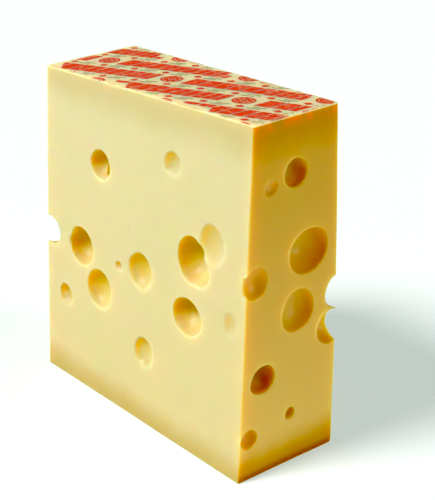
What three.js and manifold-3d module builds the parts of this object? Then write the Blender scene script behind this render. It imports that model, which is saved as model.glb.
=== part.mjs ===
// A block cut from a big wheel of hard cheese with round eyes. It stands on the wheel's lower rind, the
// upper rind is its top, and its other four faces are wire cuts that open the eyes they pass through.
// Millimetres, +Z up. The large face looks along -Y and the narrow face with the two bites along +X.
// The origin is the middle of the foot.
import * as THREE from "three";
import { mergeVertices } from "three/addons/utils/BufferGeometryUtils.js";
import Module from "manifold-3d";

// ---- Driving dimensions -------------------------------------------------------------------------------

const LENGTH = 180; // along X
const THICKNESS = 70; // along Y
const HEIGHT = 200; // rind to rind, the full height of the wheel

// The wire wandered and the wheel sags a little towards its rim, so no corner is quite where a true block
// would have it. Each corner: which way it lies from the middle, and how far it is pulled [x, y, z] at the
// foot and at the top. The order runs round the foot, anticlockwise from above.
const CORNERS = [
  { side: [-1, -1], foot: [-1.6, -1.3, 0], top: [2, 1.3, -3.1] },
  { side: [1, -1], foot: [-1.3, -0.3, 0], top: [-1.3, -0.3, 0] },
  { side: [1, 1], foot: [1.6, 1.3, 0], top: [-6.2, -5.9, 1.7] },
  { side: [-1, 1], foot: [-0.8, -0.3, 0], top: [0, -2, 1.2] },
];
const BELLY_CORNER = 2; // the back right edge swells outwards between foot and top
const BELLY = 1.6;

const UPRIGHT_ROUND = 1.4; // how soft the upright edges are
const RIND_ROUND = 1.2; // how soft the edges round the foot and the top are
const ROUND_STEPS = 3;
const SIDE_LEVELS = 6;

// The eyes, face by face. Each is [along, up, half width, half height, depth]: along is measured from the
// face's left-hand edge as one looks at it, up from its foot. The cut went through a round bubble, so an eye
// deeper than its half width widens behind its rim, and a shallow one is only the bubble's cap.
const EYES = {
  front: [
    [54, 150, 9, 9, 14],
    [118, 166, 7.6, 7.2, 3.5],
    [35.5, 94, 11.4, 11.9, 12],
    [72.5, 92.7, 3.4, 3, 2.5],
    [92, 96.4, 10.5, 11, 7],
    [53.5, 72, 11.8, 12.6, 8.5],
    [19, 56.4, 6.7, 7.1, 4.5],
    [137.3, 116.4, 12.8, 14.4, 13],
    [151.6, 130.8, 9, 11.3, 3.5],
    [133, 83, 11.7, 10.8, 11],
    [167.5, 90.6, 5, 7.3, 1.8],
    [96.3, 46.8, 8.6, 9.3, 5],
    [82, 118.3, 3, 3.1, 0.6],
    [3, 94.7, 10.2, 10.2, 15], // runs out through the left face
  ],
  right: [
    [34.5, 170.5, 8.8, 7.8, 9],
    [15.5, 166.3, 5, 4.3, 2.6],
    [46.7, 124.8, 15, 12.5, 12],
    [6.4, 117.2, 9, 9.5, 5.9], // nicks the edge of the front face
    [39.5, 92.5, 12.3, 12.4, 9],
    [14.6, 59, 8.8, 8.3, 12],
    [36, 31.3, 3.5, 3.4, 4.5],
    [5.6, 25.6, 6.2, 6.2, 5],
    [65.4, 73.6, 10, 10, 7.8], // the lower bite, out through the back
    [69.8, 94.8, 10.4, 10.2, 15], // the upper bite, with a thin wall between the two
  ],
  back: [
    [31, 148, 12, 12.5, 11],
    [62, 171, 5.5, 5.5, 3.5],
    [76, 131, 9.5, 9, 6],
    [44, 101, 10.5, 11.5, 12],
    [106, 160, 10, 9.5, 4.5],
    [93, 96, 13.5, 13, 12.5],
    [109, 83, 9, 9.5, 4],
    [141, 133, 8.5, 9, 8],
    [163, 103, 4, 4, 3],
    [146, 71, 11, 11.5, 10],
    [64, 60, 8.5, 8.5, 5],
    [29, 46, 6, 6.5, 5],
    [108, 41, 7, 7, 2.5],
    [124, 109, 3, 2.8, 2.2],
  ],
  left: [
    [24, 160, 8, 8, 6],
    [44, 130, 11, 10.5, 9],
    [15, 116, 5.5, 5.5, 3],
    [32, 84, 12, 12.5, 10.5],
    [50, 50, 7.5, 7.5, 7],
    [17, 40, 4, 4, 3],
  ],
};
// Which two corners each face runs between, left-hand edge first.
const FACE_CORNERS = { front: [0, 1], right: [1, 2], back: [2, 3], left: [3, 0] };

const FACET = 3.3; // length of one facet of an eye
const FEWEST_SIDES = 10;
const FEWEST_STEPS = 2;
const NECK = 3; // how far a cutter stands out of its face

const CHEESE = new THREE.MeshStandardMaterial({ color: 0xecdc9e, roughness: 0.4, metalness: 0 });

// ---- Solids and booleans ------------------------------------------------------------------------------

const wasm = await Module();
wasm.setup();

function solidFrom(geometry) {
  const bare = geometry.clone();
  bare.deleteAttribute("normal");
  bare.deleteAttribute("uv");
  const merged = mergeVertices(bare);
  return new wasm.Manifold(
    new wasm.Mesh({
      numProp: 3,
      vertProperties: merged.attributes.position.array,
      triVerts: new Uint32Array(merged.index.array),
    }),
  );
}

function geometryFrom(solid) {
  const mesh = solid.getMesh();
  const geometry = new THREE.BufferGeometry();
  geometry.setAttribute("position", new THREE.BufferAttribute(mesh.vertProperties, 3));
  geometry.setIndex(new THREE.BufferAttribute(mesh.triVerts, 1));
  geometry.computeVertexNormals();
  return geometry;
}

// ---- The block ----------------------------------------------------------------------------------------

// A corner of the block at a share w of the height, from 0 at the foot to 1 at the top.
function cornerAt(index, w) {
  const { side, foot, top } = CORNERS[index];
  const pull = new THREE.Vector3(...foot).lerp(new THREE.Vector3(...top), w);
  if (index === BELLY_CORNER) pull.y += BELLY * Math.sin(Math.PI * w);
  return new THREE.Vector3((side[0] * LENGTH) / 2, (side[1] * THICKNESS) / 2, w * HEIGHT).add(pull);
}

// The outline at one level: four corners, drawn in by inset, each turned by a short curve.
function outlineAt(w, inset) {
  const corners = CORNERS.map((_, i) => cornerAt(i, w));
  return corners.flatMap((corner, i) => {
    const toNext = corners[(i + 1) % 4].clone().sub(corner).normalize();
    const toLast = corners[(i + 3) % 4].clone().sub(corner).normalize();
    const tip = corner.clone().addScaledVector(toNext, inset).addScaledVector(toLast, inset);
    const turn = new THREE.QuadraticBezierCurve3(
      tip.clone().addScaledVector(toLast, UPRIGHT_ROUND),
      tip,
      tip.clone().addScaledVector(toNext, UPRIGHT_ROUND),
    );
    return turn.getPoints(ROUND_STEPS);
  });
}

// Levels from foot to top, each [share of the height, inset], closer together where the rind's edges round.
function blockLevels() {
  const levels = [];
  for (let i = 0; i < ROUND_STEPS; i++) {
    const turn = (i / ROUND_STEPS) * (Math.PI / 2);
    levels.push([(RIND_ROUND * (1 - Math.cos(turn))) / HEIGHT, RIND_ROUND * (1 - Math.sin(turn))]);
  }
  const start = RIND_ROUND / HEIGHT;
  for (let i = 0; i <= SIDE_LEVELS; i++) levels.push([start + (i / SIDE_LEVELS) * (1 - 2 * start), 0]);
  for (let i = ROUND_STEPS - 1; i >= 0; i--) levels.push([1 - levels[i][0], levels[i][1]]);
  return levels;
}

function blockGeometry() {
  const rings = blockLevels().map(([w, inset]) => outlineAt(w, inset));
  const count = rings[0].length;
  const points = rings.flat();
  const middleOf = (ring) => ring.reduce((sum, p) => sum.add(p), new THREE.Vector3()).divideScalar(count);
  const footMiddle = points.push(middleOf(rings[0])) - 1;
  const topMiddle = points.push(middleOf(rings.at(-1))) - 1;
  const topStart = (rings.length - 1) * count;
  const index = [];
  for (let i = 0; i < count; i++) {
    const j = (i + 1) % count;
    for (let low = 0; low < topStart; low += count) {
      const high = low + count;
      index.push(low + i, low + j, high + j, low + i, high + j, high + i);
    }
    index.push(footMiddle, j, i, topMiddle, topStart + i, topStart + j);
  }
  return new THREE.BufferGeometry().setFromPoints(points).setIndex(index);
}

// ---- The eyes -----------------------------------------------------------------------------------------

// A frame on a face: the point at [along, up], the direction along the face and the way out of it.
function frameOn(face, along, up) {
  const [left, right] = FACE_CORNERS[face];
  const [footLeft, footRight] = [cornerAt(left, 0), cornerAt(right, 0)];
  const [topLeft, topRight] = [cornerAt(left, 1), cornerAt(right, 1)];
  const width = (footLeft.distanceTo(footRight) + topLeft.distanceTo(topRight)) / 2;
  const height = (footLeft.distanceTo(topLeft) + footRight.distanceTo(topRight)) / 2;
  const u = along / width;
  const v = up / height;
  const foot = footLeft.clone().lerp(footRight, u);
  const top = topLeft.clone().lerp(topRight, u);
  const across = footRight.clone().sub(footLeft).lerp(topRight.clone().sub(topLeft), v).normalize();
  const outward = across.clone().cross(top.clone().sub(foot)).normalize();
  return { point: foot.lerp(top, v), across, outward };
}

// What an eye takes away: the part of a ball that lies behind the face, with a straight neck out of it.
function eyeCutter(face, [along, up, halfWidth, halfHeight, depth]) {
  const rim = Math.sqrt(halfWidth * halfHeight);
  const ball = (rim * rim + depth * depth) / (2 * depth);
  const rimTurn = Math.atan2(rim, ball - depth); // from the deepest point up to the rim
  const steps = Math.max(FEWEST_STEPS, Math.round((ball * rimTurn) / FACET));
  const sides = Math.max(FEWEST_SIDES, Math.round((2 * Math.PI * rim) / FACET));
  const profile = [];
  for (let i = 0; i <= steps; i++) {
    const turn = (i / steps) * rimTurn;
    profile.push(new THREE.Vector2(ball * Math.sin(turn), ball - depth - ball * Math.cos(turn)));
  }
  profile.push(new THREE.Vector2(rim, NECK), new THREE.Vector2(0, NECK));
  const { point, across, outward } = frameOn(face, along, up);
  const place = new THREE.Matrix4().makeBasis(across, outward, across.clone().cross(outward));
  place.scale(new THREE.Vector3(halfWidth / rim, 1, halfHeight / rim)).setPosition(point);
  return new THREE.LatheGeometry(profile, sides).applyMatrix4(place);
}

// ---- The cheese ---------------------------------------------------------------------------------------

let cheese = solidFrom(blockGeometry());
for (const [face, eyes] of Object.entries(EYES)) {
  for (const eye of eyes) cheese = cheese.subtract(solidFrom(eyeCutter(face, eye)));
}
const cheeseGeometry = geometryFrom(cheese);

// The pulled corners shift the block a little, so it is set back over the origin.
cheeseGeometry.computeBoundingBox();
const middle = cheeseGeometry.boundingBox.getCenter(new THREE.Vector3());
cheeseGeometry.translate(-middle.x, -middle.y, -cheeseGeometry.boundingBox.min.z);

const block = new THREE.Mesh(cheeseGeometry, CHEESE);
block.name = "cheese_block";

const part = new THREE.Group();
part.add(block);

export default part;
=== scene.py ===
# %% [markdown]
# # A block of hard cheese with round eyes
# This notebook dresses one solid, a block cut from a big wheel of hard cheese. The wheel ripens for months,
# bubbles of gas grow in it, and a wire then cuts it. The cut opens the bubbles it passes through, and each
# one shows as a smooth round eye. The block stands on the wheel's lower rind and is as high as the wheel.
# We first load the measured solid, so that everything made later sits exactly where it should.

# %% Load the measured block
import math
from collections import namedtuple
from functools import reduce

import bpy
import numpy as np
import openvdb
from mathutils import Matrix, Vector


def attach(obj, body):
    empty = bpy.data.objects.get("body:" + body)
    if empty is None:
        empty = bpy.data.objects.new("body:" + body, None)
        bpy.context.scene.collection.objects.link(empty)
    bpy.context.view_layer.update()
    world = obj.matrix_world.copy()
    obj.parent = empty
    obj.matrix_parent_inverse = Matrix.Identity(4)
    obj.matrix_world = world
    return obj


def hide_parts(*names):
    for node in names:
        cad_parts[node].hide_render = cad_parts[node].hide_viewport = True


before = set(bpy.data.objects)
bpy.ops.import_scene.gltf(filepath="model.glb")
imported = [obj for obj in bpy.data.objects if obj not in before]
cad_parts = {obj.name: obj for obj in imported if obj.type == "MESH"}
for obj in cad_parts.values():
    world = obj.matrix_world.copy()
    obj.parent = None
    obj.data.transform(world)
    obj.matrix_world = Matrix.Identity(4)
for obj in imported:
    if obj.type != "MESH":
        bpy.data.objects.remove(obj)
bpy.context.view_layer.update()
MM = 0.001

# %% [markdown]
# ## The camera
# A portrait lens, a little above a tall block, keeps its upright edges nearly upright. The camera is held
# about two degrees off level. We place it by how far it is turned round the block and raised above it,
# because those are the numbers one would note in a studio.

# %% Place the camera
LENS = 76.0  # mm, on a 36 mm sensor
TURN = math.radians(47.2)  # from straight in front of the large face, towards the narrow one
RISE = math.radians(22.1)
ROLL = math.radians(1.87)
DISTANCE = 617.0  # mm
AIM = Vector((12.1, 14.8, 100.0))  # the point it looks at, in mm

backwards = Vector((math.sin(TURN) * math.cos(RISE), -math.cos(TURN) * math.cos(RISE), math.sin(RISE)))
level = backwards.cross(Vector((0, 0, -1))).normalized()
upright = backwards.cross(level)
side_axis = level * math.cos(ROLL) + upright * math.sin(ROLL)
up_axis = upright * math.cos(ROLL) - level * math.sin(ROLL)

camera = bpy.data.objects.new("camera", bpy.data.cameras.new("camera"))
camera.data.lens = LENS
camera.data.clip_start = 0.01
turned = Matrix((side_axis, up_axis, backwards)).transposed().to_4x4()
camera.matrix_world = Matrix.Translation((AIM + backwards * DISTANCE) * MM) @ turned
bpy.context.scene.collection.objects.link(camera)
bpy.context.scene.camera = camera
print("camera at", [round(v / MM) for v in camera.matrix_world.translation], "mm")

# %% [markdown]
# ## Colours and nodes
# Colours are written as the hex values a painter or a web page would use. Shaders work in linear light, so
# one function turns the first into the second. A second small function adds a shader node, sets it up and
# links its inputs, which keeps each material readable from top to bottom.

# %% Two helpers for every material
def linear(hex_colour):
    """An sRGB hex colour as linear RGBA."""
    parts = [int(hex_colour[i : i + 2], 16) / 255 for i in (1, 3, 5)]
    return [p / 12.92 if p <= 0.04045 else ((p + 0.055) / 1.055) ** 2.4 for p in parts] + [1.0]


def add(tree, kind, inputs=None, **settings):
    """Adds a node. inputs gives each socket a value, another node or one of its outputs."""
    node = tree.nodes.new(kind)
    for name, value in settings.items():
        setattr(node, name, value)
    for socket, value in (inputs or {}).items():
        if isinstance(value, bpy.types.Node):
            value = next(output for output in value.outputs if output.enabled)
        if isinstance(value, bpy.types.NodeSocket):
            tree.links.new(value, node.inputs[socket])
        else:
            node.inputs[socket].default_value = value
    return node


def per_mm(size):
    """The scale of a texture whose pattern is size millimetres wide, on coordinates in metres."""
    return 1 / (size * MM)


print("pale yellow #ECDD9E is", [round(v, 3) for v in linear("#ECDD9E")[:3]], "in linear light")

# %% [markdown]
# ## The block's form
# The block could be a cube with moved corners, but its rounded edges and the soft lips of its eyes would
# then need bevels on top of Booleans, which break easily. We write it as a distance instead: a function that
# says how far any point lies outside the cheese, in mm, and is negative inside. Distances join well. The
# larger of two is what lies inside both, and a small change to "larger" rounds the edge where they meet.

# %% The sizes of the block
LENGTH, THICKNESS, HEIGHT = 180.0, 70.0, 200.0  # mm
# The corners run anticlockwise from the front left. Each is pulled [x, y, z] mm from a true block's corner.
SIDES = [[-1, -1], [1, -1], [1, 1], [-1, 1]]
FOOT_PULL = [[-1.6, -1.3, 0], [-1.3, -0.3, 0], [1.6, 1.3, 0], [-0.8, -0.3, 0]]
TOP_PULL = [[2, 1.3, -3.1], [-1.3, -0.3, 0], [-6.2, -5.4, 1.3], [0, -2, 1.2]]
BELLY = [[-0.7, 0], [0, 0], [0, 1.6], [0, 0]]  # how far each upright edge swells halfway up
UPRIGHT_ROUND, RIND_ROUND = 0.8, 0.7  # how softly the upright edges turn, and those round the two rinds
# The foot's back right corner is knocked off: a plane through a point, facing mostly back and a little down.
KNOCK_POINT, KNOCK_WAY = Vector((91.6, 37.3, 5.2)), Vector((0.15, 0.9, -0.36)).normalized()


def corner_at(i, share):
    """Where a corner of the outline is at a share of the height, 0 at the foot and 1 at the top."""
    pulls = zip((LENGTH, THICKNESS), SIDES[i], FOOT_PULL[i], TOP_PULL[i], BELLY[i])
    swell = np.sin(np.pi * share)
    return [
        side * size / 2 + foot * (1 - share) + top * share + belly * swell
        for size, side, foot, top, belly in pulls
    ]


def top_height(x, y):
    """How high the upper rind is, which dips a little towards the front left."""
    u, v = x / LENGTH + 0.5, y / THICKNESS + 0.5
    front = TOP_PULL[0][2] * (1 - u) + TOP_PULL[1][2] * u
    back = TOP_PULL[3][2] * (1 - u) + TOP_PULL[2][2] * u
    return HEIGHT + front * (1 - v) + back * v


corner_heights = [round(float(top_height(sx * LENGTH / 2, sy * THICKNESS / 2)), 1) for sx, sy in SIDES]
print("the top is", corner_heights, "mm high at its corners")

# %% [markdown]
# A wire never cuts quite flat: it drifts, and the cheese springs back behind it. The faces get a slow wave a
# few tenths of a millimetre deep, made of a few sine waves that run in different directions. It is too small
# to measure by eye, but it bends the light on the face, and a dead flat face is what looks computer-made.

# %% Distances: waves, rounded joins, the bare block
WAVE_DEPTH, WAVE_LENGTHS = 0.14, (34, 47, 61, 83)  # mm


def waves(x, y, z, lengths, seed):
    """A smooth uneven value between about -1 and 1, from sine waves of these lengths in mm."""
    random = np.random.default_rng(seed)
    total = 0
    for length in lengths:
        way = random.normal(size=3)
        way *= 2 * np.pi / length / np.linalg.norm(way)
        total = total + np.sin(x * way[0] + y * way[1] + z * way[2] + random.uniform(0, 2 * np.pi))
    return total / len(lengths)


def joined(distances, radius):
    """What lies inside all of these distances, with the edges between them rounded."""
    past = sum(np.maximum(d + radius, 0) ** 2 for d in distances)
    return np.sqrt(past) + np.minimum(reduce(np.maximum, distances) + radius, 0) - radius


def face_distance(i, x, y, z):
    """How far a point is in front of the cut face that runs from corner i to the next."""
    share = np.clip(z / HEIGHT, 0, 1)
    (ax, ay), (bx, by) = corner_at(i, share), corner_at((i + 1) % 4, share)
    return ((x - ax) * (by - ay) - (y - ay) * (bx - ax)) / np.hypot(bx - ax, by - ay)


def block_distance(x, y, z):
    """The block before any eye opens: four wavy cut faces, the upper rind and a flat foot."""
    wave = WAVE_DEPTH * (1 + waves(x, y, z, WAVE_LENGTHS, seed=3))
    knocked = sum((v - p) * way for v, p, way in zip((x, y, z), KNOCK_POINT, KNOCK_WAY))
    sides = joined([knocked, *(face_distance(i, x, y, z) + wave for i in range(4))], UPRIGHT_ROUND)
    return joined([sides, z - top_height(x, y) + wave / 2, -z + 0 * x], RIND_ROUND)


print("the middle of the block is", round(-float(block_distance(0.0, 0.0, 100.0)), 1), "mm deep")

# %% [markdown]
# ## The eyes
# An eye is a bubble that the wire cut through, so it is part of a ball. Its depth against its width says
# which part: a deep one widens behind its rim, and a shallow one is only the ball's cap. Each eye is written
# as a maker would measure it on the face. Two of them meet the back edge and leave a thin wall between them,
# one runs out through the left face, and the large eye of the front face is two bubbles that grew into one.
# The lip is how softly the rim turns. The wire dragged the paste with it, so the lip on the far side of its
# pull is the softer one.

# %% The eyes, face by face
# All in mm: along is measured from the left-hand edge of the face as one looks at it, and up from its foot.
Eye = namedtuple("Eye", "along up half_width half_height depth lip dragged_lip", defaults=[0.35, 1.2])
THIN_LIPS = (0.2, 0.2)  # both lips, where only a thin wall stands between two eyes
PULL = np.array([0.5, 0.0, -0.87])  # the way in which the wire was pulled
EYES = {
    "front": [
        Eye(54, 150, 9, 9, 8.5),
        Eye(118, 166, 7.6, 7.2, 3.5),
        Eye(35.5, 94, 11.4, 11.9, 12),
        Eye(72.5, 92.7, 3.4, 3, 2.5),
        Eye(92, 96.4, 10.5, 11, 7),
        Eye(53.5, 72, 11.8, 12.6, 8.5),
        Eye(19, 56.4, 6.7, 7.1, 4.5),
        Eye(135.3, 117, 10.8, 13.8, 12),
        Eye(140.4, 112.5, 9.5, 9.5, 8.5),
        Eye(151, 130.5, 9.8, 12, 4.2),
        Eye(133, 83, 11.7, 10.8, 11),
        Eye(167.3, 90.8, 5.8, 7.6, 1.9),
        Eye(96.3, 46.8, 8.6, 9.3, 5),
        Eye(82, 118.3, 3, 3.1, 0.6, 0.1, 0.3),
        Eye(3, 95.6, 9.7, 8.6, 18),
    ],
    "right": [
        Eye(34.5, 170.3, 8.7, 7.6, 10),
        Eye(15.5, 166.3, 5, 4.3, 2.6),
        Eye(46.7, 124.8, 15, 12.5, 12),
        Eye(7.1, 117.2, 8.4, 9.5, 5.4),
        Eye(39.5, 92.5, 12.3, 12.4, 9),
        Eye(14.5, 59.2, 8.6, 8.1, 12),
        Eye(36, 31.3, 3.5, 3.4, 4.5),
        Eye(6.4, 25.6, 5.9, 6.2, 4.8),
        Eye(64.9, 75, 10.6, 10.6, 8.5, *THIN_LIPS),
        Eye(71, 94.9, 9.8, 9.4, 13, *THIN_LIPS),
    ],
    "back": [
        Eye(31, 148, 12, 12.5, 11),
        Eye(62, 171, 5.5, 5.5, 3.5),
        Eye(76, 131, 9.5, 9, 6),
        Eye(44, 101, 10.5, 11.5, 12),
        Eye(106, 160, 10, 9.5, 4.5),
        Eye(93, 96, 13.5, 13, 12.5),
        Eye(109, 83, 9, 9.5, 4),
        Eye(141, 133, 8.5, 9, 8),
        Eye(163, 103, 4, 4, 3),
        Eye(146, 71, 11, 11.5, 10),
        Eye(64, 60, 8.5, 8.5, 5),
        Eye(29, 46, 6, 6.5, 5),
        Eye(108, 41, 7, 7, 2.5),
        Eye(124, 109, 3, 2.8, 2.2),
    ],
    "left": [
        Eye(24, 160, 8, 8, 6),
        Eye(44, 130, 11, 10.5, 9),
        Eye(15, 116, 5.5, 5.5, 3),
        Eye(32, 84, 12, 12.5, 10.5),
        Eye(50, 50, 7.5, 7.5, 7),
        Eye(17, 40, 4, 4, 3),
    ],
}
FACES = list(EYES)  # in this order they start at corners 0, 1, 2 and 3
all_eyes = [(face, eye) for face, eyes in EYES.items() for eye in eyes]
print(len(all_eyes), "eyes, the widest", 2 * max(eye.half_width for _, eye in all_eyes), "mm across")

# %% [markdown]
# To set an eye on its face we need a small frame there: the point on the face, the way along it and the way
# out of it. The ball's radius follows from the rim and the depth by the chord rule of school geometry. Real
# bubbles are not true balls, so each is bent by a slow wave before it is measured.

# %% Balls behind the faces
Ball = namedtuple("Ball", "middle axes stretch radius lip dragged_lip")
BEND, BEND_LENGTHS = 0.45, (17, 23, 31)  # mm
BEND_SEEDS = (11, 12, 13)  # one for each direction
TINY = 1e-6  # keeps a length from being zero where we divide by it


def corner_point(i, share):
    """A corner as a point, with its height."""
    return np.array([*corner_at(i, share), share * (HEIGHT + TOP_PULL[i][2])])


def ball_of(face, eye):
    """The ball that an eye is part of."""
    start = FACES.index(face)
    foot, top = ([corner_point(i % 4, share) for i in (start, start + 1)] for share in (0, 1))
    width = sum(np.linalg.norm(b - a) for a, b in (foot, top)) / 2
    height = sum(np.linalg.norm(b - a) for a, b in zip(foot, top)) / 2
    u, v = eye.along / width, eye.up / height
    low, high = foot[0] + (foot[1] - foot[0]) * u, top[0] + (top[1] - top[0]) * u
    across = (foot[1] - foot[0]) * (1 - v) + (top[1] - top[0]) * v
    across /= np.linalg.norm(across)
    outward = np.cross(across, high - low)
    outward /= np.linalg.norm(outward)
    rim = math.sqrt(eye.half_width * eye.half_height)
    radius = (rim**2 + eye.depth**2) / (2 * eye.depth)
    middle = low + (high - low) * v + outward * (radius - eye.depth)
    axes = np.array([across, outward, np.cross(across, outward)])
    stretch = np.array([eye.half_width / rim, 1, eye.half_height / rim])
    return Ball(middle, axes, stretch, radius, eye.lip, eye.dragged_lip)


def depth_in_ball(ball, x, y, z):
    """How deep a point lies inside a ball, negative outside it."""
    bend = [BEND * waves(x, y, z, BEND_LENGTHS, seed) for seed in BEND_SEEDS]
    offset = np.stack([x, y, z]) - ball.middle[:, None] + bend
    local = ball.axes @ offset / ball.stretch[:, None]
    far = np.maximum(np.linalg.norm(local, axis=0), TINY)
    growth = np.maximum(np.linalg.norm(local / ball.stretch[:, None], axis=0), TINY)
    return (ball.radius - far) * far / growth


BALLS = [ball_of(face, eye) for face, eye in all_eyes]
# A second bubble grew behind the first eye and opens into it.
BEHIND = np.array([1.9, 7.5, -3.4])
BALLS.append(Ball(BALLS[0].middle + BEHIND, np.eye(3), np.ones(3), radius=4.8, lip=0.15, dragged_lip=0.15))
print("the largest ball is", round(2 * max(b.radius for b in BALLS)), "mm across")

# %% [markdown]
# The cheese is what lies inside the block and outside every ball. Only points near a ball are measured
# against it, which keeps the sum quick on millions of points.

# %% The whole cheese as one distance
NEAR = 3.0  # a ball matters this far outside itself


def cheese_distance(x, y, z):
    """How far a point lies outside the cheese, in mm, negative inside."""
    distance = np.array(block_distance(x, y, z))
    x, y, z = (np.broadcast_to(v, distance.shape) for v in (x, y, z))
    for ball in BALLS:
        reach = ball.radius * ball.stretch.max() + NEAR
        close = [abs(v - m) < reach for v, m in zip((x, y, z), ball.middle)]
        near = close[0] & close[1] & close[2]
        point = [v[near] for v in (x, y, z)]
        along_pull = sum((v - m) * pull for v, m, pull in zip(point, ball.middle, PULL)) / ball.radius
        lip = ball.lip + (ball.dragged_lip - ball.lip) * np.clip(along_pull, 0, 1)
        distance[near] = joined([distance[near], depth_in_ball(ball, *point)], lip)
    return distance


IN_FIRST_EYE = np.array([[-35.0], [-30.0], [150.0]])
print("5 mm into the first eye there is no cheese:", cheese_distance(*IN_FIRST_EYE)[0] > 0)

# %% [markdown]
# ## From distances to a skin
# We fill a grid with the distance and let the library that handles Blender's volumes draw the skin where it
# crosses zero. It uses small polygons where the surface bends and large ones where it is flat. Each vertex
# then slides along the slope of the distance until it lies exactly on the surface, and the slope is also the
# exact direction the surface faces, so we keep it as the normal. Light then runs smoothly over every rim.

# %% Measure the grid and draw the skin
CELL = 0.6  # mm
MARGIN = 3 * CELL
ADAPTIVITY = 0.004
PULLED_OUT, PULLED_UP = 3, 2  # mm, more than any corner stands out past the true block

low = np.array([-LENGTH / 2 - PULLED_OUT, -THICKNESS / 2 - PULLED_OUT, 0.0]) - MARGIN
high = np.array([LENGTH / 2 + PULLED_OUT, THICKNESS / 2 + PULLED_OUT, HEIGHT + PULLED_UP]) + MARGIN
ticks = [np.arange(a, b, CELL, dtype=np.float32) for a, b in zip(low, high)]
spots = np.meshgrid(*ticks, indexing="ij", sparse=True)
volume = openvdb.FloatGrid(MARGIN)
volume.copyFromArray(np.clip(cheese_distance(*spots), -MARGIN, MARGIN).astype(np.float32))
skin, triangles, quads = volume.convertToPolygons(0.0, ADAPTIVITY)
skin = skin.astype(float) * CELL + low
print(len(skin), "points,", len(triangles), "triangles and", len(quads), "quads")


# %% Slide the points onto the surface
SLIDES = 3  # rounds, each much closer than the last
LEAST_STEEPNESS = 0.1  # squared, so that no point leaps where the slope is gentle


def slope(points, step=0.04):
    """The way in which the distance grows fastest at each point."""
    steps = np.eye(3) * step
    return np.stack(
        [cheese_distance(*(points + s).T) - cheese_distance(*(points - s).T) for s in steps], 1
    ) / (2 * step)


for _ in range(SLIDES):
    uphill = slope(skin)
    steepness = np.maximum((uphill**2).sum(1), LEAST_STEEPNESS)
    skin -= uphill * np.clip(cheese_distance(*skin.T) / steepness, -CELL, CELL)[:, None]
facing = slope(skin)
facing /= np.linalg.norm(facing, axis=1)[:, None]
print("furthest point from the surface:", round(float(abs(cheese_distance(*skin.T)).max()), 3), "mm")

# %% [markdown]
# The mesh also carries the measures that its material reads: how far each point is below the top, above the
# foot and behind the cut, what belongs to a narrow end, and how far a point faces away from the key light,
# which places the painted shade in the eyes. Cheese is darker just under its rind, where it ripens fastest,
# and the eyes in a narrow end get a painted shade of their own.

# %% Measure the points for the material
ON_WALL = 0.3  # mm, a point this close to a ball's surface is on the wall of its eye
SHADED_WALL_WAY = Vector((0.6, 0.0, -0.8))  # walls that face this way, away from the key light, get the eyes' painted shade


def on_end_eye(points):
    """1 for each point on the wall of an eye that opens in a narrow end, and 0 for the others."""
    owner, gap = np.full(len(points), ""), np.full(len(points), ON_WALL)
    for (face, _), ball in zip(all_eyes, BALLS):
        away = np.abs(depth_in_ball(ball, *points.T))
        closer = away < gap
        owner[closer], gap[closer] = face[0], away[closer]
    return np.isin(owner, ("r", "l")).astype(float)


measures = {
    "below_top": top_height(skin[:, 0], skin[:, 1]) - skin[:, 2],
    "above_foot": skin[:, 2],
    "behind_cut": -block_distance(*skin.T),
    "behind_end": -np.maximum(face_distance(1, *skin.T), face_distance(3, *skin.T)),
    "away_from_key": facing @ np.array(SHADED_WALL_WAY),
    "end_eye": on_end_eye(skin),
}
print(int(measures["end_eye"].sum()), "points lie in the eyes of the narrow ends")


# %% Make the piece
MEASURED_SOLID = "cheese_block"


def mesh_from(name, points, faces):
    """A mesh object from points in mm."""
    mesh = bpy.data.meshes.new(name)
    mesh.from_pydata((np.asarray(points) * MM).tolist(), [], faces)
    made = bpy.data.objects.new(name, mesh)
    bpy.context.scene.collection.objects.link(made)
    return made


faces = triangles.tolist() + quads.tolist()
cheese = mesh_from("cheese", skin, faces)
cheese.data.polygons.foreach_set("use_smooth", [True] * len(faces))
cheese.data.normals_split_custom_set_from_vertices(facing.tolist())
for name, values in measures.items():
    stored = cheese.data.attributes.new(name, "FLOAT", "POINT")
    stored.data.foreach_set("value", values.astype(np.float32))
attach(cheese, "root")
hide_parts(MEASURED_SOLID)
corners_used = 3 * len(triangles) + 4 * len(quads)
print("the skin has", corners_used - 2 * len(faces), "triangles")

# %% [markdown]
# ## Cut cheese
# The paste of a hard cheese is milk protein full of tiny drops of fat. Light goes in, bounces about for a
# centimetre or more and comes out yellower, because the blue part is swallowed first. That is why a lit face
# looks pale and an unlit one looks golden. A plain diffuse shader can't do that, so all of the light goes
# through subsurface scattering, where red travels furthest. The colour follows the measures that the mesh
# carries. Some of its tones are the cheese's own, and some are painted shade and a little painted floor
# light. We start with the measures themselves.

# %% Start the cheese's material
paste = bpy.data.materials.new("cut_hard_cheese")
paste.use_nodes = True
tree = paste.node_tree
tree.nodes.clear()
where = add(tree, "ShaderNodeTexCoord").outputs["Object"]
below_top, above_foot, behind_cut, behind_end, away_from_key, end_eye = (
    add(tree, "ShaderNodeAttribute", attribute_name=name).outputs["Fac"] for name in measures
)
SOFTLY = {"interpolation_type": "SMOOTHSTEP"}  # a map range that starts and ends gently
COLOURS = {"data_type": "RGBA"}
SHARE, UNDER, OVER = 0, 6, 7  # the inputs of a mix of two colours
print(len(tree.nodes), "nodes bring in the measures")
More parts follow.
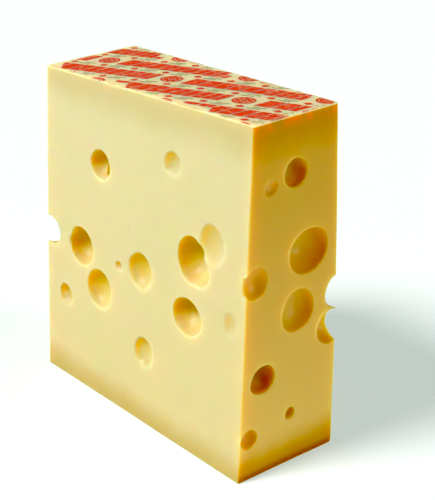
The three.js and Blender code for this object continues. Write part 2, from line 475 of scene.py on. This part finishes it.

# %% [markdown]
# The curd knits in soft clouds, a shade apart. Towards the foot the paste is painted a little darker: painted
# shade. The narrow ends are painted a deeper gold: painted shade, paler towards the foot, where painted floor
# light lifts it. The walls of an eye, which the gas pressed smooth, are golden, partly their own tone and
# partly painted shade in the hollow. The sides of an eye that face down and towards the right-hand end, away
# from the key light, are painted the deepest gold: painted shade.

# %% The paste, the ends and the eyes
CREAMY, STRAW = linear("#CBC198"), linear("#C8C196")
LOW_SHADE = linear("#FCF5E8")  # painted shade: what the paste is multiplied by at the foot
# Painted shade on the narrow ends, and a paler painted shade towards their foot, where floor light is painted
# in.
END_SHADE, END_SHADE_LOW = linear("#C29F53"), linear("#D7B972")
# The eyes' walls, partly their own tone and partly painted shade, and the painted shade on their shaded
# sides.
EYE_WALL_AND_SHADE, EYE_SHADE = linear("#D5BB7E"), linear("#DCBE54")
END_EYE_SHADE = linear("#DBB76A")  # painted shade in the eyes of the ends, over wall and shaded side alike
CLOUD = 24  # mm across
TINT_START, TINT_FULL = 5.0, 190.0  # mm below the top
END_START, END_FULL = 1.0, 0.2  # mm further behind a narrow end than behind the nearest cut
# How far behind the cut an eye's wall takes its tone, partly painted shade, and its shaded side its painted
# shade, in mm.
WALL_START, WALL_FULL = 0.4, 6.0
SHADE_START, SHADE_FULL = 0.05, 1.4
SHADE_SIDE_START, SHADE_SIDE_FULL = -0.5, 0.75  # from a side of the eye that faces the key light to one painted in shade

# The values of a noise crowd round a half, so a narrow range there is stretched to run from 0 to 1.
clouds = add(tree, "ShaderNodeTexNoise", {"Vector": where, "Scale": per_mm(CLOUD), "Detail": 3.0})
cloudy = add(tree, "ShaderNodeMapRange", {"Value": clouds, "From Min": 0.35, "From Max": 0.65}, **SOFTLY)
body = add(tree, "ShaderNodeMix", {SHARE: cloudy, UNDER: CREAMY, OVER: STRAW}, **COLOURS)

lower = {"Value": below_top, "From Min": TINT_START, "From Max": TINT_FULL}
lower = add(tree, "ShaderNodeMapRange", lower)
tint = {SHARE: lower, UNDER: body, OVER: LOW_SHADE}
body = add(tree, "ShaderNodeMix", tint, blend_type="MULTIPLY", **COLOURS)

past_end = add(tree, "ShaderNodeMath", {0: behind_end, 1: behind_cut}, operation="SUBTRACT")
end_cut = {"Value": past_end, "From Min": END_START, "From Max": END_FULL}
end_cut = add(tree, "ShaderNodeMapRange", end_cut, **SOFTLY)
end_cut = add(tree, "ShaderNodeMath", {0: end_cut, 1: end_eye}, operation="MAXIMUM")
end_shade = add(tree, "ShaderNodeMix", {SHARE: lower, UNDER: END_SHADE, OVER: END_SHADE_LOW}, **COLOURS)
body = add(tree, "ShaderNodeMix", {SHARE: end_cut, UNDER: body, OVER: end_shade}, **COLOURS)

in_eye = {"Value": behind_cut, "From Min": WALL_START, "From Max": WALL_FULL}
in_eye = add(tree, "ShaderNodeMapRange", in_eye, **SOFTLY)
opened = {"Value": behind_cut, "From Min": SHADE_START, "From Max": SHADE_FULL}
opened = add(tree, "ShaderNodeMapRange", opened, **SOFTLY)
shaded_side = {"Value": away_from_key, "From Min": SHADE_SIDE_START, "From Max": SHADE_SIDE_FULL}
shaded_side = add(tree, "ShaderNodeMapRange", shaded_side, **SOFTLY)
shaded_side = add(tree, "ShaderNodeMath", {0: shaded_side, 1: opened}, operation="MULTIPLY")
in_eye = add(tree, "ShaderNodeMath", {0: in_eye, 1: shaded_side}, operation="MAXIMUM")
eye_tone = add(tree, "ShaderNodeMix", {SHARE: shaded_side, UNDER: EYE_WALL_AND_SHADE, OVER: EYE_SHADE}, **COLOURS)
eye_tone = add(tree, "ShaderNodeMix", {SHARE: end_eye, UNDER: eye_tone, OVER: END_EYE_SHADE}, **COLOURS)
body = add(tree, "ShaderNodeMix", {SHARE: in_eye, UNDER: body, OVER: eye_tone}, **COLOURS)
print("the narrow ends are", [round(v, 2) for v in END_SHADE[:3]], "in linear light")

# %% [markdown]
# Cheese ripens from the rind inwards, so a darker band runs under each rind, and its edge wanders. On the
# narrow ends the bands are painted stronger and deeper, nearly brown at the foot, and the foot's band reaches
# higher: partly ripening and partly painted shade. A thin dark line runs along the foot of the narrow ends.

# %% The ripe bands under the rinds
# On the narrow ends the band's colour is partly ripening and partly painted shade.
RIPE, RIPE_END_SHADED = linear("#B49E64"), linear("#B98C1D")
# A thin dark line along the foot of the narrow ends.
FOOT_LINE = linear("#875A10")
# On the ends the top band is painted stronger, partly painted shade.
TOP_SHARE, END_SHADE_EXTRA, FOOT_SHARE = 0.38, 0.52, 0.9
# How far from its rind each band starts, and where it is full, in mm.
TOP_START, TOP_FULL = 24.0, 4.0
FOOT_START, FOOT_FULL = 22.0, 1.5
FOOT_LINE_START, FOOT_LINE_FULL = 6.0, 0.3
BAND_DRIFT, DRIFT_LENGTH = 7.0, 30  # mm by which a band's edge wanders, and over what length
END_SHADE_CREEP = 2.5  # mm by which the foot's band, partly painted shade, reaches higher on the ends

wander = add(tree, "ShaderNodeTexNoise", {"Vector": where, "Scale": per_mm(DRIFT_LENGTH), "Detail": 2.0})
drift = add(tree, "ShaderNodeMapRange", {"Value": wander, "To Min": -BAND_DRIFT, "To Max": BAND_DRIFT})
low_down = add(tree, "ShaderNodeMath", {0: above_foot, 1: drift}, operation="ADD")
low_down = add(tree, "ShaderNodeMath", {0: end_cut, 1: -END_SHADE_CREEP, 2: low_down}, operation="MULTIPLY_ADD")
high_up = add(tree, "ShaderNodeMath", {0: below_top, 1: drift}, operation="ADD")
foot_band = {"Value": low_down, "From Min": FOOT_START, "From Max": FOOT_FULL, "To Max": FOOT_SHARE}
foot_band = add(tree, "ShaderNodeMapRange", foot_band, **SOFTLY)
top_band = {"Value": high_up, "From Min": TOP_START, "From Max": TOP_FULL}
top_band = add(tree, "ShaderNodeMapRange", top_band, **SOFTLY)
strength = add(tree, "ShaderNodeMath", {0: end_cut, 1: END_SHADE_EXTRA, 2: TOP_SHARE}, operation="MULTIPLY_ADD")
top_band = add(tree, "ShaderNodeMath", {0: top_band, 1: strength}, operation="MULTIPLY")
ripe = add(tree, "ShaderNodeMath", {0: top_band, 1: foot_band}, operation="MAXIMUM")
ripe_colour = add(tree, "ShaderNodeMix", {SHARE: end_cut, UNDER: RIPE, OVER: RIPE_END_SHADED}, **COLOURS)
body = add(tree, "ShaderNodeMix", {SHARE: ripe, UNDER: body, OVER: ripe_colour}, **COLOURS)

foot_line = {"Value": above_foot, "From Min": FOOT_LINE_START, "From Max": FOOT_LINE_FULL}
foot_line = add(tree, "ShaderNodeMapRange", foot_line, **SOFTLY)
foot_line = add(tree, "ShaderNodeMath", {0: foot_line, 1: end_cut}, operation="MULTIPLY")
body = add(tree, "ShaderNodeMix", {SHARE: foot_line, UNDER: body, OVER: FOOT_LINE}, **COLOURS)
print("the foot's band takes", FOOT_SHARE, "of the colour at its darkest")

# %% [markdown]
# The upper rind was washed and brushed for months, which leaves it cream and matt. It ends where the surface
# turns down. It was stamped when the wheel was whole, and on the narrow ends a little of the red ink has
# soaked past the edge into the paste.

# %% The upper rind
SOAKED_INK, INK_SHARE = linear("#E0853A"), 0.75
SOAK_START, SOAK_FULL = 7.0, 2.0  # mm below the top
SOAK_PATCH = 9  # mm across
RIND_START, RIND_FULL = 1.2, 0.5  # mm below the top, where its edge turns down

patches = add(tree, "ShaderNodeTexNoise", {"Vector": where, "Scale": per_mm(SOAK_PATCH), "Detail": 2.0})
patches = add(tree, "ShaderNodeMapRange", {"Value": patches, "From Min": 0.4, "From Max": 0.62}, **SOFTLY)
soaked = {"Value": below_top, "From Min": SOAK_START, "From Max": SOAK_FULL, "To Max": INK_SHARE}
soaked = add(tree, "ShaderNodeMapRange", soaked, **SOFTLY)
soaked = add(tree, "ShaderNodeMath", {0: soaked, 1: patches}, operation="MULTIPLY")
soaked = add(tree, "ShaderNodeMath", {0: soaked, 1: end_cut}, operation="MULTIPLY")
body = add(tree, "ShaderNodeMix", {SHARE: soaked, UNDER: body, OVER: SOAKED_INK}, **COLOURS)

RIND = linear("#E0CB9B")
on_top = {"Value": below_top, "From Min": RIND_START, "From Max": RIND_FULL}
on_top = add(tree, "ShaderNodeMapRange", on_top, **SOFTLY)
body = add(tree, "ShaderNodeMix", {SHARE: on_top, UNDER: body, OVER: RIND}, **COLOURS)
print("the rind is", [round(v, 2) for v in RIND[:3]], "in linear light")

# %% [markdown]
# A wire leaves a satin surface with a little fat on it, and a faint grain where the curd tore. The wall of an
# eye is a shade smoother. The fat is a coat with its own soft gloss over the paste. The grain is far too low
# to model, so it is a bump.

# %% The gloss and the grain
SATIN_MIN, SATIN_MAX = 0.42, 0.52  # how rough the cut is, from its fattest to its driest smears
SMEAR = 5  # mm across
EYE_SMOOTHER = 0.05  # how much less rough the wall of an eye is
SWEAT_START, SWEAT_FULL = 0.5, 2.0  # mm behind the cut
GRAIN_DEPTH, CURD_GRAIN = 0.05, 1.6  # mm deep, mm across

smears = add(tree, "ShaderNodeTexNoise", {"Vector": where, "Scale": per_mm(SMEAR), "Detail": 2.0})
satin = {"Value": smears, "From Min": 0.3, "From Max": 0.7, "To Min": SATIN_MIN, "To Max": SATIN_MAX}
satin = add(tree, "ShaderNodeMapRange", satin, **SOFTLY)
sweat = {"Value": behind_cut, "From Min": SWEAT_START, "From Max": SWEAT_FULL}
sweat = add(tree, "ShaderNodeMapRange", sweat, **SOFTLY)
roughness = add(tree, "ShaderNodeMath", {0: sweat, 1: -EYE_SMOOTHER, 2: satin}, operation="MULTIPLY_ADD")
curd = add(tree, "ShaderNodeTexNoise", {"Vector": where, "Scale": per_mm(CURD_GRAIN), "Detail": 4.0})
grain = add(tree, "ShaderNodeBump", {"Height": curd, "Strength": 0.25, "Distance": GRAIN_DEPTH * MM})
print("the grain is", GRAIN_DEPTH, "mm deep")

# %% Put the cheese's material together
LIGHT_REACH = 23.0  # mm that red light travels in the paste
REACH_SHARES = (1.0, 0.471, 0.202)  # how far red, green and blue get, as shares of that
shader = add(
    tree,
    "ShaderNodeBsdfPrincipled",
    {
        "Base Color": body,
        "Roughness": roughness,
        "IOR": 1.42,
        "Specular IOR Level": 0.22,
        "Subsurface Weight": 1.0,
        "Subsurface Radius": REACH_SHARES,
        "Subsurface Scale": LIGHT_REACH * MM,
        "Subsurface Anisotropy": 0.0,
        "Coat Weight": 0.06,
        "Coat Roughness": 0.34,
        "Coat IOR": 1.47,
        "Normal": grain,
    },
    subsurface_method="RANDOM_WALK",
)
add(tree, "ShaderNodeOutputMaterial", {"Surface": shader})
cheese.data.materials.append(paste)
print(len(tree.nodes), "nodes in", paste.name)

# %% [markdown]
# ## The print on the rind
# A wheel like this is stamped all over its rind with food ink before it is cut, so the pattern runs off every
# edge of the block. We design a plain one: slanted rows of red bars that get thinner along the row, a ringed
# rosette between two runs of bars, and finer rows of dashes and small lozenges. It could be painted by the
# rind's material, but drawn as thin pieces of its own it stays sharp at any distance and in any file.

# %% Draw the motifs
# Sizes are in mm.
ROW_TURN = math.radians(19)  # the rows lie across the block
ROW_PITCH = 21.5
BAR_HEIGHT, BAR_SLANT = 12.5, 0.3
WIDEST_BAR, BAR_SHRINK, BAR_GAP, BARS = 9.0, 0.92, 1.0, 10
ROSETTE_RADIUS, PETALS, PETAL_WIDTH = 5.2, 8, 1.75
RING_WIDTH, RING_PARTS = 1.3, 20
SPACE_BEFORE, SPACE_AFTER = 3.0, 4.0  # round the rosette
LOZENGE_LONG, LOZENGE_WIDE = 2.8, 2.24
DASH_LENGTH, DASH_HEIGHT, DASH_LIFT = 7.5, 1.4, 1.3
DASH_START, DASH_STEP = 5.5, 21.0
ROW_SHIFT, DASH_SHIFT = 0.4, 7.0  # each row starts further along: a share of a run, and mm
ROWS, RUNS, DASHES = range(-5, 6), range(-3, 4), range(-9, 10)  # enough to cover the top and more


def bar(start, width):
    """One slanted bar of a row, its middle line starting at start."""
    lean = BAR_SLANT * BAR_HEIGHT / 2
    low, high = (start - lean, -BAR_HEIGHT / 2), (start + lean, BAR_HEIGHT / 2)
    return [low, (low[0] + width, low[1]), (high[0] + width, high[1]), high]


def lozenge(u, v, long, wide, turn=0.0):
    """A lozenge, long one way and wide the other."""
    c, s = math.cos(turn), math.sin(turn)
    return [(u + a * c - b * s, v + a * s + b * c) for a, b in ((-long, 0), (0, -wide), (long, 0), (0, wide))]


def rosette(u):
    """Petals round a small middle, inside a ring."""
    drawn = [lozenge(u, 0, PETAL_WIDTH, PETAL_WIDTH)]
    long = (ROSETTE_RADIUS - PETAL_WIDTH) / 2
    for i in range(PETALS):
        turn = 2 * math.pi * i / PETALS
        out = PETAL_WIDTH + long
        drawn.append(lozenge(u + out * math.cos(turn), out * math.sin(turn), long, PETAL_WIDTH, turn))
    for i in range(RING_PARTS):
        ways = [2 * math.pi * (i + part) / RING_PARTS for part in (0, 1)]
        rim = [(w, ROSETTE_RADIUS) for w in ways] + [(w, ROSETTE_RADIUS + RING_WIDTH) for w in reversed(ways)]
        drawn.append([(u + r * math.cos(w), r * math.sin(w)) for w, r in reversed(rim)])
    return drawn


def run_of_bars():
    """A run of bars and the rosette behind it, and how long both are."""
    drawn, u, width = [], 0.0, WIDEST_BAR
    for _ in range(BARS):
        drawn.append(bar(u, width))
        u += width + BAR_GAP
        width *= BAR_SHRINK
    middle = u + SPACE_BEFORE + RING_WIDTH + ROSETTE_RADIUS
    return drawn + rosette(middle), middle + ROSETTE_RADIUS + RING_WIDTH + SPACE_AFTER


run, RUN_LENGTH = run_of_bars()
print("a run of", BARS, "bars and its rosette are", round(RUN_LENGTH, 1), "mm long")

# %% [markdown]
# The rows are laid over the whole top and then trimmed to its outline, one side after another. That is the
# oldest way to clip a polygon: walk round it, keep the corners inside the line, and add one wherever an edge
# crosses it. Each trimmed motif is laid on the rind, a twentieth of a millimetre proud, with its own
# thickness, so that it is a closed piece and not a loose sheet.

# %% Trim the rows to the rind
RIM = 0.45  # the print stops this far inside the cut edge, where the rind starts to turn down
SMALLEST = 0.4  # mm2, a scrap smaller than this is left out


def past_line(a, b, p):
    """How far p is to the left of the line from a to b."""
    return ((b[0] - a[0]) * (p[1] - a[1]) - (b[1] - a[1]) * (p[0] - a[0])) / math.dist(a, b)


def trimmed(polygon, outline):
    """The part of a polygon inside a convex outline that is drawn in by the rim."""
    for a, b in zip(outline, outline[1:] + outline[:1]):
        kept = []
        for p, q in zip(polygon, polygon[1:] + polygon[:1]):
            here, there = past_line(a, b, p) - RIM, past_line(a, b, q) - RIM
            if here >= 0:
                kept.append(p)
            if here * there < 0:
                share = here / (here - there)
                kept.append((p[0] + (q[0] - p[0]) * share, p[1] + (q[1] - p[1]) * share))
        polygon = kept
    return polygon


def area(polygon):
    """The area of a polygon, by the shoelace rule."""
    return sum(p[0] * q[1] - q[0] * p[1] for p, q in zip(polygon, polygon[1:] + polygon[:1])) / 2


def row_patterns():
    """Every motif, in the rows' own directions, with its ink: 0 for red and 1 for green."""
    for row in ROWS:
        across = row * ROW_PITCH
        for i in RUNS:
            along = (i + row * ROW_SHIFT) * RUN_LENGTH
            for shape in run:
                yield 0, [(u + along, v + across) for u, v in shape]
        for i in DASHES:
            along, between = i * DASH_STEP + row * DASH_SHIFT, across + ROW_PITCH / 2
            yield 0, lozenge(along, between, LOZENGE_LONG, LOZENGE_WIDE)
            for lift in (-DASH_LIFT, DASH_LIFT):
                start, low = along + DASH_START + lift, between + lift - DASH_HEIGHT / 2
                end, high = start + DASH_LENGTH, low + DASH_HEIGHT
                yield 1, [(start, low), (end, low), (end, high), (start, high)]


top_outline = [corner_at(i, 1.0) for i in range(4)]
turn_c, turn_s = math.cos(ROW_TURN), math.sin(ROW_TURN)
tiles = []
for ink, shape in row_patterns():
    tile = trimmed([(u * turn_c - v * turn_s, u * turn_s + v * turn_c) for u, v in shape], top_outline)
    if len(tile) > 2 and area(tile) > SMALLEST:
        tiles.append((ink, tile))
print(len(tiles), "motifs on the rind, covering", round(sum(area(t) for _, t in tiles) / 100), "cm2")


# %% Lay them on the rind
PROUD, SUNK = 0.05, 0.12  # mm that each motif reaches above and below the rind's skin
SETTLINGS = 6  # rounds that lower the points onto the skin


def on_rind(flat):
    """These points of the top, at the height of the rind."""
    x, y = np.array(flat, float).T
    z = top_height(x, y)
    for _ in range(SETTLINGS):
        z = z - cheese_distance(x, y, z)
    return np.stack([x, y, z], 1)


upper = on_rind([corner for _, tile in tiles for corner in tile])
total = len(upper)
faces, inks, first = [], [], 0
for ink, tile in tiles:
    ring = list(range(first, first + len(tile)))
    walls = [[a + total, b + total, b, a] for a, b in zip(ring, ring[1:] + ring[:1])]
    faces += [ring, [i + total for i in reversed(ring)], *walls]
    inks += [ink] * (len(tile) + 2)
    first += len(tile)
rind_print = mesh_from("rind_print", np.concatenate([upper + [0, 0, PROUD], upper - [0, 0, SUNK]]), faces)
rind_print.data.polygons.foreach_set("material_index", inks)
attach(rind_print, "root")
print("the print has", len(faces), "faces")

# %% [markdown]
# ## Food ink
# Stamping ink for rinds is a matt dye in a little shellac. The stamp never touches evenly, so the red is
# dense in some places and lets the rind through in others, and its edges look a little dry.

# %% Mix the inks
BLOT, SPECK = 3.5, 0.9  # mm across
SPECK_SHARE = 0.6  # how much of the rind a speck lets through


def food_ink(name, dense, thin):
    """A matt ink that goes from dense to thin in small uneven patches."""
    ink = bpy.data.materials.new(name)
    ink.use_nodes = True
    tree = ink.node_tree
    tree.nodes.clear()
    where = add(tree, "ShaderNodeTexCoord").outputs["Object"]
    blots = add(tree, "ShaderNodeTexNoise", {"Vector": where, "Scale": per_mm(BLOT), "Detail": 4.0})
    blots = add(tree, "ShaderNodeMapRange", {"Value": blots, "From Min": 0.5, "From Max": 0.72}, **SOFTLY)
    specks = add(tree, "ShaderNodeTexNoise", {"Vector": where, "Scale": per_mm(SPECK), "Detail": 3.0})
    specks = {"Value": specks, "From Min": 0.6, "From Max": 0.72, "To Max": SPECK_SHARE}
    specks = add(tree, "ShaderNodeMapRange", specks, **SOFTLY)
    worn = add(tree, "ShaderNodeMath", {0: blots, 1: specks}, operation="MAXIMUM")
    colour = add(tree, "ShaderNodeMix", {SHARE: worn, UNDER: dense, OVER: thin}, **COLOURS)
    matt = {"Base Color": colour, "Roughness": 0.55, "IOR": 1.45, "Specular IOR Level": 0.4}
    shader = add(tree, "ShaderNodeBsdfPrincipled", matt)
    add(tree, "ShaderNodeOutputMaterial", {"Surface": shader})
    rind_print.data.materials.append(ink)


food_ink("red_food_ink", linear("#CF5848"), linear("#D68C6C"))
food_ink("grey_green_food_ink", linear("#A3A378"), linear("#BDB78C"))
print("inks:", [m.name for m in rind_print.data.materials])

# %% [markdown]
# ## The floor and the light
# A studio sweep is a matt white board that runs on past the frame, so no horizon shows. It is a large flat
# plane here, with a little glow of its own, because such a board is always lit a bit more than its subject.

# %% Lay the floor
FLOOR_REACH = 6000.0  # mm
half = FLOOR_REACH / 2
corners = [(-half, -half, 0), (half, -half, 0), (half, half, 0), (-half, half, 0)]
floor = mesh_from("floor", corners, [(0, 1, 2, 3)])
board = bpy.data.materials.new("matt_white_board")
board.use_nodes = True
tree = board.node_tree
tree.nodes.clear()
shader = add(
    tree,
    "ShaderNodeBsdfPrincipled",
    {
        "Base Color": linear("#AFAFAF"),
        "Roughness": 0.9,
        "Specular IOR Level": 0.1,
        "Emission Color": linear("#F1FFF8"),
        "Emission Strength": 0.506,
    },
)
add(tree, "ShaderNodeOutputMaterial", {"Surface": shader})
floor.data.materials.append(board)
print("floor reaches", half * MM, "m each way")

# %% [markdown]
# The key light stands in front of the large face, a little to the left, and comes down at 46 degrees. It is
# a wide box, so its shadows have soft edges. A weaker fill, low behind the right-hand end, opens the shade
# there. Both are so far off that their light falls evenly, which is what a sun lamp does. The room sends back
# a faint even light, and the camera sees a white backdrop instead of its walls.

# %% Light the set
Lamp = namedtuple("Lamp", "name turn rise spread strength")
KEY = Lamp("key_light", turn=-16, rise=46, spread=18, strength=4.28)
FILL = Lamp("fill_light", turn=116, rise=16, spread=12, strength=1.48)
ROOM_STRENGTH = 0.178
BLACK_POINT = 0.1  # light below this shows as black, as on film with some contrast


def hang(lamp):
    """Hangs a soft box so far off that its light falls evenly, given in degrees and W/m2."""
    light = bpy.data.lights.new(lamp.name, "SUN")
    light.angle = math.radians(lamp.spread)
    light.energy = lamp.strength
    turn, rise = math.radians(lamp.turn), math.radians(lamp.rise)
    away = Vector((math.sin(turn) * math.cos(rise), -math.cos(turn) * math.cos(rise), math.sin(rise)))
    hung = bpy.data.objects.new(lamp.name, light)
    hung.rotation_mode = "QUATERNION"
    hung.rotation_quaternion = away.to_track_quat("Z", "Y")
    bpy.context.scene.collection.objects.link(hung)


hang(KEY)
hang(FILL)

room = bpy.data.worlds.new("white_room")
room.use_nodes = True
tree = room.node_tree
tree.nodes.clear()
walls = add(tree, "ShaderNodeBackground", {"Color": linear("#F6FFFB"), "Strength": ROOM_STRENGTH})
backdrop = add(tree, "ShaderNodeBackground", {"Color": linear("#FFFFFF"), "Strength": 1.0})
seen = add(tree, "ShaderNodeLightPath").outputs["Is Camera Ray"]
either = add(tree, "ShaderNodeMixShader", {0: seen, 1: walls, 2: backdrop})
add(tree, "ShaderNodeOutputWorld", {"Surface": either})
bpy.context.scene.world = room
view = bpy.context.scene.view_settings
view.view_transform = "Standard"
view.use_curve_mapping = True
view.curve_mapping.black_level = (BLACK_POINT,) * 3
view.curve_mapping.update()
print("the key light is", round(KEY.strength / FILL.strength, 1), "times as strong as the fill")
